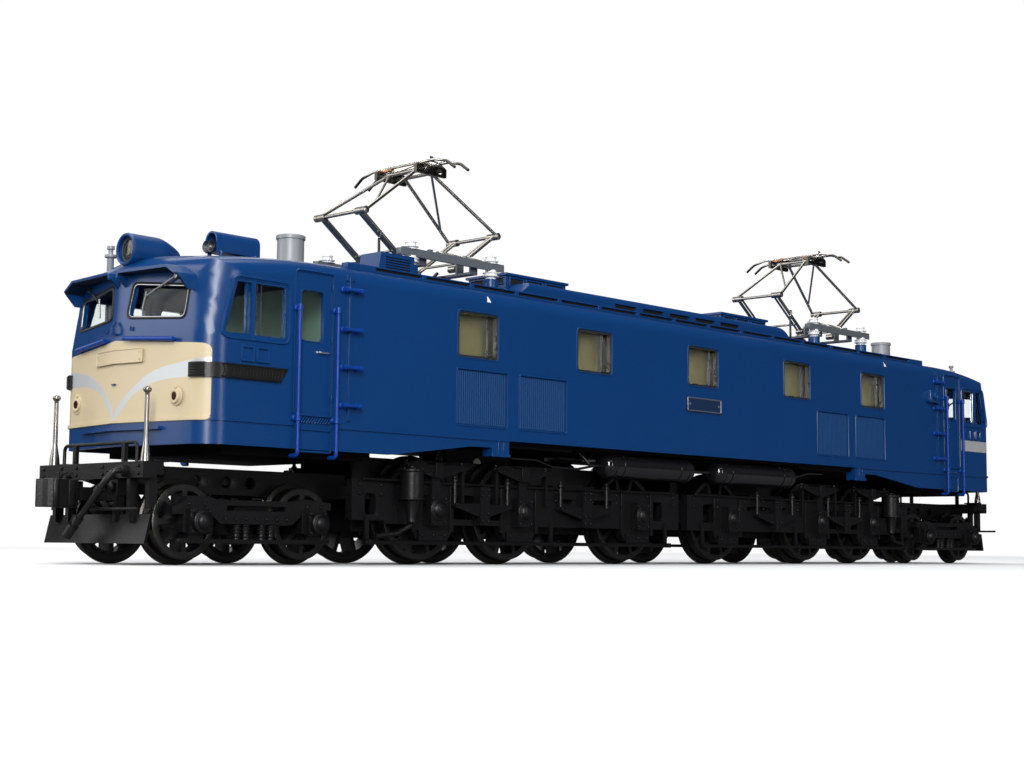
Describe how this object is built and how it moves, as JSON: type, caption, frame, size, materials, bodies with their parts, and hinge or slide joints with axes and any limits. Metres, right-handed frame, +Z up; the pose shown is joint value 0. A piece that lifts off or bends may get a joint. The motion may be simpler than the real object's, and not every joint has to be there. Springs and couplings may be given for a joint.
{
  "type": "model electric locomotive",
  "caption": "Scale model of a long box-bodied electric locomotive with pointed cab ends, swivelling bogies, folding pantographs, glazed side windows, roof gear and a working gear drive.",
  "frame": {"origin": "midway between the two coupler faces and the two sides, at the height of the flange tips (0.7 mm under the rail head)", "axes": "+X along the length, the leading cab with the horn cover points to -X; +Y across the track; +Z up"},
  "size_m": [0.2488, 0.0374, 0.0661],
  "materials": {
    "body_blue": "satin deep blue paint",
    "rail_blue": "bright blue paint on wire",
    "silver_metal": "bright silver",
    "cast_black": "blackened die casting",
    "black_plastic": "satin black moulding",
    "black_metal": "black paint",
    "coupler_metal": "blackened metal",
    "wheel_metal": "blackened wheel with a bright tread",
    "bright_steel": "plain motor can",
    "gear_brass": "turned brass",
    "gear_plastic": "natural acetal",
    "hose_rubber": "matt black",
    "panto_grey": "grey paint",
    "panto_metal": "nickel plated brass",
    "porcelain": "glossy white",
    "clear_window": "clear moulded pane",
    "lamp_glass": "clear and red lenses",
    "plate_metal": "bare plate",
    "wall_beige": "matt beige",
    "cab_green": "pale green"
  },
  "bodies": {
    "body": {"air_tanks": "black_metal", "body_shell": "body_blue", "cab_interiors": "cab_green", "chassis": "cast_black", "glazing": "clear_window", "handrails": "rail_blue", "inner_walls": "wall_beige", "insulators": "porcelain", "lamp_casings": "body_blue", "lamp_lenses": "lamp_glass", "motor": "bright_steel", "number_plates": "plate_metal", "panto_bases": "panto_grey", "roof_hoods": "body_blue", "roof_metalwork": "silver_metal", "sun_visors": "body_blue", "waist_strips": "black_plastic", "walkways": "body_blue", "window_trim": "silver_metal"},
    "drive_shaft": {"drive_shaft": "gear_plastic"},
    "front_truck": {"front_truck_frame": "black_plastic", "front_spring_gear": "black_plastic", "front_end_beam": "black_plastic", "front_marker_poles": "black_metal", "front_snow_plow": "black_plastic", "front_brake_hose": "hose_rubber"},
    "front_lead_truck": {"front_lead_truck": "black_plastic"},
    "front_coupler": {"front_coupler": "coupler_metal"},
    "front_driver_1": {"front_driver_1": "wheel_metal"},
    "front_driver_2": {"front_driver_2": "wheel_metal"},
    "front_driver_3": {"front_driver_3": "wheel_metal"},
    "front_carrier_1": {"front_carrier_1": "wheel_metal"},
    "front_carrier_2": {"front_carrier_2": "wheel_metal"},
    "front_worm": {"front_worm": "gear_brass"},
    "front_tower_gear": {"front_tower_gear": "gear_plastic"},
    "front_panto_lower_a": {"front_panto_lower_a": "panto_metal"},
    "front_panto_lower_b": {"front_panto_lower_b": "panto_metal"},
    "front_panto_upper_a": {"front_panto_upper_a": "panto_metal"},
    "front_panto_upper_b": {"front_panto_upper_b": "panto_metal"},
    "front_panto_head": {"front_panto_head": "panto_metal"},
    "rear_truck": {"rear_truck_frame": "black_plastic", "rear_spring_gear": "black_plastic", "rear_end_beam": "black_plastic", "rear_marker_poles": "black_metal", "rear_snow_plow": "black_plastic", "rear_brake_hose": "hose_rubber"},
    "rear_lead_truck": {"rear_lead_truck": "black_plastic"},
    "rear_coupler": {"rear_coupler": "coupler_metal"},
    "rear_driver_1": {"rear_driver_1": "wheel_metal"},
    "rear_driver_2": {"rear_driver_2": "wheel_metal"},
    "rear_driver_3": {"rear_driver_3": "wheel_metal"},
    "rear_carrier_1": {"rear_carrier_1": "wheel_metal"},
    "rear_carrier_2": {"rear_carrier_2": "wheel_metal"},
    "rear_worm": {"rear_worm": "gear_brass"},
    "rear_tower_gear": {"rear_tower_gear": "gear_plastic"},
    "rear_panto_lower_a": {"rear_panto_lower_a": "panto_metal"},
    "rear_panto_lower_b": {"rear_panto_lower_b": "panto_metal"},
    "rear_panto_upper_a": {"rear_panto_upper_a": "panto_metal"},
    "rear_panto_upper_b": {"rear_panto_upper_b": "panto_metal"},
    "rear_panto_head": {"rear_panto_head": "panto_metal"}
  },
  "joints": [
    {"name": "drive_spin", "type": "hinge", "parent": "body", "child": "drive_shaft", "pos_m": [0, 0, 0.0237], "axis": [1, 0, 0], "continuous": true},
    {"name": "front_truck_swing", "type": "hinge", "parent": "body", "child": "front_truck", "pos_m": [-0.02875, 0, 0.0117], "axis": [0, 0, 1], "range_deg": [-3, 3]},
    {"name": "front_lead_swing", "type": "hinge", "parent": "front_truck", "child": "front_lead_truck", "pos_m": [-0.0979, 0, 0.009], "axis": [0, 0, 1], "range_deg": [-4, 4]},
    {"name": "front_coupler_swing", "type": "hinge", "parent": "front_truck", "child": "front_coupler", "pos_m": [-0.113, 0, 0.0096], "axis": [0, 0, 1], "range_deg": [-8, 8]},
    {"name": "front_driver_1_roll", "type": "hinge", "parent": "front_truck", "child": "front_driver_1", "pos_m": [-0.06397, 0, 0.0085], "axis": [0, 1, 0], "continuous": true},
    {"name": "front_driver_2_roll", "type": "hinge", "parent": "front_truck", "child": "front_driver_2", "pos_m": [-0.04425, 0, 0.0085], "axis": [0, 1, 0], "continuous": true},
    {"name": "front_driver_3_roll", "type": "hinge", "parent": "front_truck", "child": "front_driver_3", "pos_m": [-0.01363, 0, 0.0085], "axis": [0, 1, 0], "continuous": true},
    {"name": "front_carrier_1_roll", "type": "hinge", "parent": "front_lead_truck", "child": "front_carrier_1", "pos_m": [-0.10825, 0, 0.00595], "axis": [0, 1, 0], "continuous": true},
    {"name": "front_carrier_2_roll", "type": "hinge", "parent": "front_lead_truck", "child": "front_carrier_2", "pos_m": [-0.0876, 0, 0.00595], "axis": [0, 1, 0], "continuous": true},
    {"name": "front_worm_spin", "type": "hinge", "parent": "front_truck", "child": "front_worm", "pos_m": [-0.04425, 0, 0.0237], "axis": [1, 0, 0], "continuous": true},
    {"name": "front_gear_spin", "type": "hinge", "parent": "front_truck", "child": "front_tower_gear", "pos_m": [-0.04425, 0, 0.0167], "axis": [0, 1, 0], "continuous": true},
    {"name": "front_panto_fold", "type": "hinge", "parent": "body", "child": "front_panto_lower_a", "pos_m": [-0.0633, 0, 0.0486], "axis": [0, 1, 0], "range_deg": [-36, 0], "stiffness_Nm_per_rad": 0.0012, "springref_deg": 34.38},
    {"name": "front_panto_fold_b", "type": "hinge", "parent": "body", "child": "front_panto_lower_b", "pos_m": [-0.0517, 0, 0.0486], "axis": [0, 1, 0], "range_deg": [0, 36]},
    {"name": "front_panto_knee_a", "type": "hinge", "parent": "front_panto_lower_a", "child": "front_panto_upper_a", "pos_m": [-0.0725, 0, 0.0553], "axis": [0, 1, 0], "range_deg": [0, 54.7]},
    {"name": "front_panto_knee_b", "type": "hinge", "parent": "front_panto_lower_b", "child": "front_panto_upper_b", "pos_m": [-0.0425, 0, 0.0553], "axis": [0, 1, 0], "range_deg": [-54.7, 0]},
    {"name": "front_panto_head_pivot", "type": "hinge", "parent": "front_panto_upper_a", "child": "front_panto_head", "pos_m": [-0.0592, 0, 0.0643], "axis": [0, 1, 0], "range_deg": [-18.7, 0]},
    {"name": "rear_truck_swing", "type": "hinge", "parent": "body", "child": "rear_truck", "pos_m": [0.02875, 0, 0.0117], "axis": [0, 0, 1], "range_deg": [-3, 3]},
    {"name": "rear_lead_swing", "type": "hinge", "parent": "rear_truck", "child": "rear_lead_truck", "pos_m": [0.0979, 0, 0.009], "axis": [0, 0, 1], "range_deg": [-4, 4]},
    {"name": "rear_coupler_swing", "type": "hinge", "parent": "rear_truck", "child": "rear_coupler", "pos_m": [0.113, 0, 0.0096], "axis": [0, 0, 1], "range_deg": [-8, 8]},
    {"name": "rear_driver_1_roll", "type": "hinge", "parent": "rear_truck", "child": "rear_driver_1", "pos_m": [0.06397, 0, 0.0085], "axis": [0, 1, 0], "continuous": true},
    {"name": "rear_driver_2_roll", "type": "hinge", "parent": "rear_truck", "child": "rear_driver_2", "pos_m": [0.04425, 0, 0.0085], "axis": [0, 1, 0], "continuous": true},
    {"name": "rear_driver_3_roll", "type": "hinge", "parent": "rear_truck", "child": "rear_driver_3", "pos_m": [0.01363, 0, 0.0085], "axis": [0, 1, 0], "continuous": true},
    {"name": "rear_carrier_1_roll", "type": "hinge", "parent": "rear_lead_truck", "child": "rear_carrier_1", "pos_m": [0.10825, 0, 0.00595], "axis": [0, 1, 0], "continuous": true},
    {"name": "rear_carrier_2_roll", "type": "hinge", "parent": "rear_lead_truck", "child": "rear_carrier_2", "pos_m": [0.0876, 0, 0.00595], "axis": [0, 1, 0], "continuous": true},
    {"name": "rear_worm_spin", "type": "hinge", "parent": "rear_truck", "child": "rear_worm", "pos_m": [0.04425, 0, 0.0237], "axis": [1, 0, 0], "continuous": true},
    {"name": "rear_gear_spin", "type": "hinge", "parent": "rear_truck", "child": "rear_tower_gear", "pos_m": [0.04425, 0, 0.0167], "axis": [0, 1, 0], "continuous": true},
    {"name": "rear_panto_fold", "type": "hinge", "parent": "body", "child": "rear_panto_lower_a", "pos_m": [0.0633, 0, 0.0486], "axis": [0, -1, 0], "range_deg": [-36, 0], "stiffness_Nm_per_rad": 0.0012, "springref_deg": 34.38},
    {"name": "rear_panto_fold_b", "type": "hinge", "parent": "body", "child": "rear_panto_lower_b", "pos_m": [0.0517, 0, 0.0486], "axis": [0, -1, 0], "range_deg": [0, 36]},
    {"name": "rear_panto_knee_a", "type": "hinge", "parent": "rear_panto_lower_a", "child": "rear_panto_upper_a", "pos_m": [0.0725, 0, 0.0553], "axis": [0, -1, 0], "range_deg": [0, 54.7]},
    {"name": "rear_panto_knee_b", "type": "hinge", "parent": "rear_panto_lower_b", "child": "rear_panto_upper_b", "pos_m": [0.0425, 0, 0.0553], "axis": [0, -1, 0], "range_deg": [-54.7, 0]},
    {"name": "rear_panto_head_pivot", "type": "hinge", "parent": "rear_panto_upper_a", "child": "rear_panto_head", "pos_m": [0.0592, 0, 0.0643], "axis": [0, -1, 0], "range_deg": [-18.7, 0]}
  ],
  "couplings": [
    {"joint": "front_worm_spin", "follows": "drive_spin", "ratio": 1},
    {"joint": "front_gear_spin", "follows": "drive_spin", "ratio": 0.05},
    {"joint": "front_driver_2_roll", "follows": "drive_spin", "ratio": -0.081774},
    {"joint": "front_panto_fold_b", "follows": "front_panto_fold", "ratio": -1},
    {"joint": "front_panto_knee_a", "follows": "front_panto_fold", "ratio": -1.5177},
    {"joint": "front_panto_knee_b", "follows": "front_panto_fold", "ratio": 1.5177},
    {"joint": "front_panto_head_pivot", "follows": "front_panto_fold", "ratio": 0.51766},
    {"joint": "rear_worm_spin", "follows": "drive_spin", "ratio": 1},
    {"joint": "rear_gear_spin", "follows": "drive_spin", "ratio": 0.05},
    {"joint": "rear_driver_2_roll", "follows": "drive_spin", "ratio": -0.081774},
    {"joint": "rear_panto_fold_b", "follows": "rear_panto_fold", "ratio": -1},
    {"joint": "rear_panto_knee_a", "follows": "rear_panto_fold", "ratio": -1.5177},
    {"joint": "rear_panto_knee_b", "follows": "rear_panto_fold", "ratio": 1.5177},
    {"joint": "rear_panto_head_pivot", "follows": "rear_panto_fold", "ratio": 0.51766}
  ]
}
